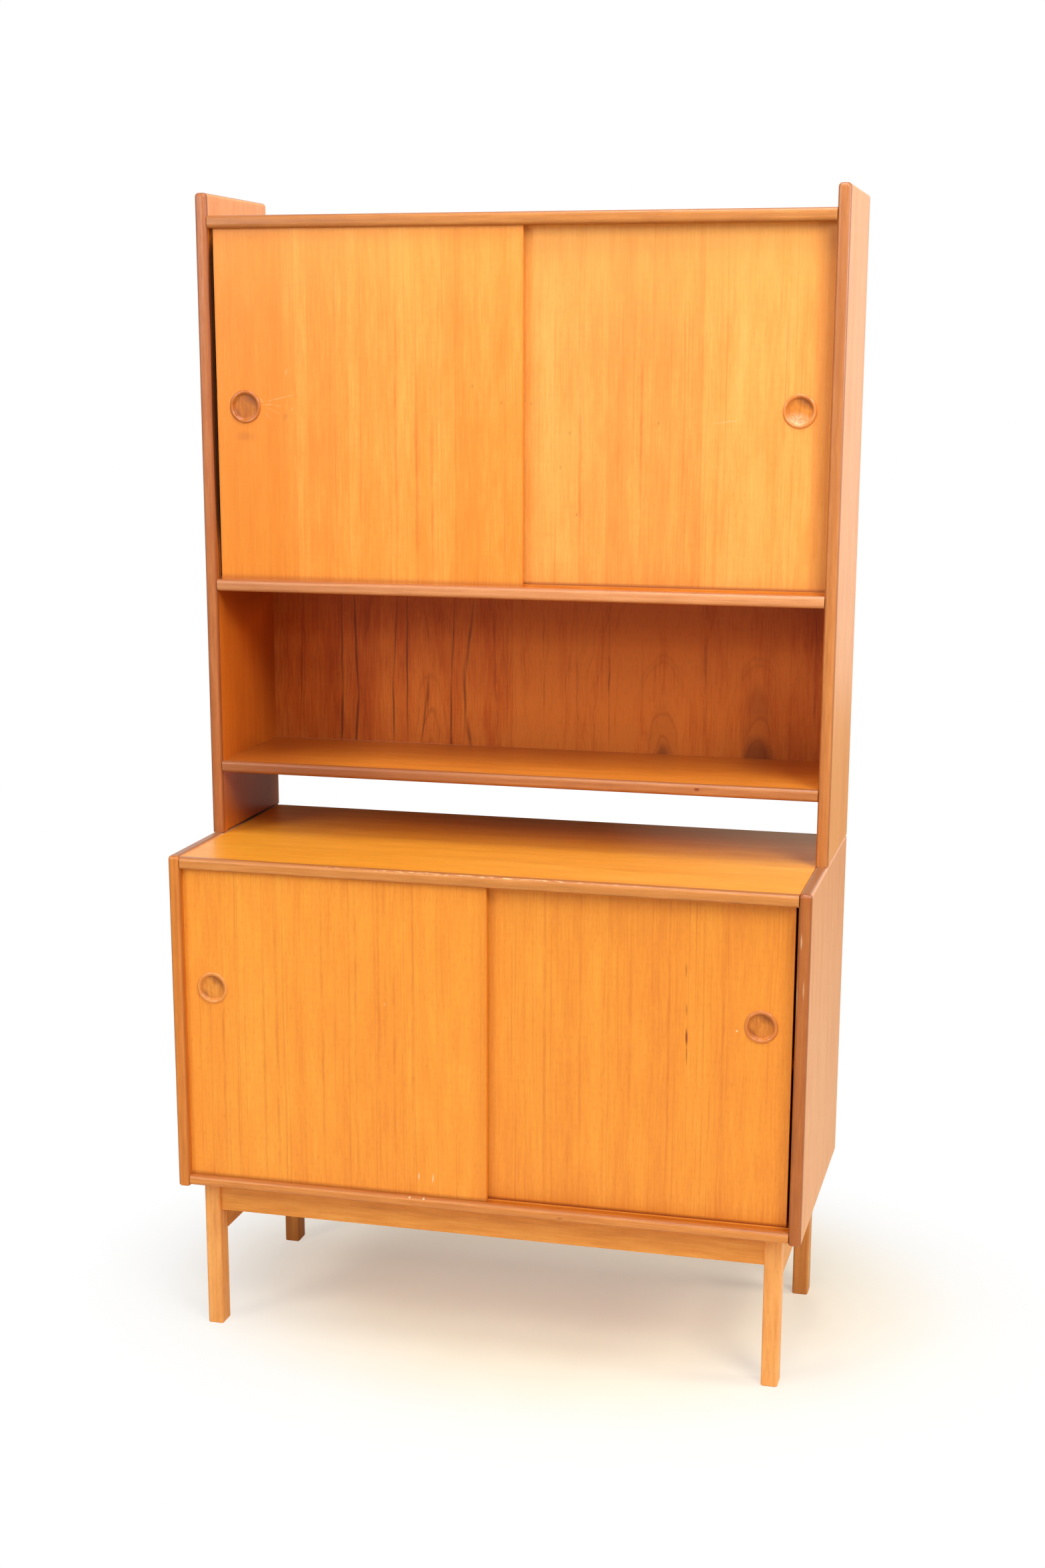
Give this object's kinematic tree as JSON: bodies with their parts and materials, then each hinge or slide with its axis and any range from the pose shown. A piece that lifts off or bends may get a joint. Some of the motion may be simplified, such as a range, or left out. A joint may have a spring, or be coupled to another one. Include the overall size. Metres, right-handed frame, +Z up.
{
  "type": "highboard",
  "caption": "Two-part teak highboard on a leg frame, with sliding doors, turned cup pulls and an open bay.",
  "frame": {"origin": "on the floor, under the middle of the lower cabinet's width and depth", "axes": "+Z up, -Y towards the front with the doors, +X to the viewer's right"},
  "size_m": [1, 0.44, 1.7835],
  "materials": {
    "teak_veneer": "satin lacquer over straight-grained teak veneer",
    "door_veneer": "satin lacquer over quarter-cut teak veneer",
    "teak_lipping": "satin lacquer over solid teak",
    "turned_teak": "satin lacquer over turned solid teak",
    "base_teak": "satin lacquer over solid wood",
    "back_veneer": "oiled dark teak veneer with strong figure",
    "inner_veneer": "plain satin veneer",
    "beech_dowels": "raw beech",
    "steel_screws": "slotted, satin",
    "brass_pins": "plain"
  },
  "bodies": {
    "carcase": {"base_corner_blocks": "inner_veneer", "base_screws": "steel_screws", "front_left_leg": "base_teak", "front_rail": "base_teak", "front_right_leg": "base_teak", "left_rail": "base_teak", "lower_back_panel": "back_veneer", "lower_back_screws": "steel_screws", "lower_bottom_board": "teak_veneer", "lower_bottom_lipping": "teak_lipping", "lower_carcase_dowels": "beech_dowels", "lower_divider": "inner_veneer", "lower_left_shelf": "inner_veneer", "lower_left_side": "teak_veneer", "lower_left_side_lipping": "teak_lipping", "lower_right_shelf": "inner_veneer", "lower_right_side": "teak_veneer", "lower_right_side_lipping": "teak_lipping", "lower_shelf_pins": "brass_pins", "lower_top_board": "teak_veneer", "lower_top_lipping": "teak_lipping", "open_shelf_board": "teak_veneer", "open_shelf_lipping": "teak_lipping", "rear_left_leg": "base_teak", "rear_rail": "base_teak", "rear_right_leg": "base_teak", "right_rail": "base_teak", "stacking_dowels": "beech_dowels", "upper_back_panel": "back_veneer", "upper_back_screws": "steel_screws", "upper_carcase_dowels": "beech_dowels", "upper_divider": "inner_veneer", "upper_left_shelf": "inner_veneer", "upper_left_side": "teak_veneer", "upper_left_side_lipping": "teak_lipping", "upper_mid_board": "teak_veneer", "upper_mid_lipping": "teak_lipping", "upper_right_shelf": "inner_veneer", "upper_right_side": "teak_veneer", "upper_right_side_lipping": "teak_lipping", "upper_shelf_pins": "brass_pins", "upper_top_board": "teak_veneer", "upper_top_lipping": "teak_lipping"},
    "lower_left_sliding_door": {"lower_left_door": "door_veneer", "lower_left_pull": "turned_teak"},
    "lower_right_sliding_door": {"lower_right_door": "door_veneer", "lower_right_pull": "turned_teak"},
    "upper_left_sliding_door": {"upper_left_door": "door_veneer", "upper_left_pull": "turned_teak"},
    "upper_right_sliding_door": {"upper_right_door": "door_veneer", "upper_right_pull": "turned_teak"}
  },
  "joints": [
    {"name": "lower_left_slide", "type": "slide", "parent": "carcase", "child": "lower_left_sliding_door", "axis": [1, 0, 0], "range_m": [0, 0.4715]},
    {"name": "lower_right_slide", "type": "slide", "parent": "carcase", "child": "lower_right_sliding_door", "axis": [-1, 0, 0], "range_m": [-0.0085, 0.463]},
    {"name": "upper_left_slide", "type": "slide", "parent": "carcase", "child": "upper_left_sliding_door", "axis": [1, 0, 0], "range_m": [-0.007, 0.4645]},
    {"name": "upper_right_slide", "type": "slide", "parent": "carcase", "child": "upper_right_sliding_door", "axis": [-1, 0, 0], "range_m": [-0.0035, 0.468]}
  ]
}
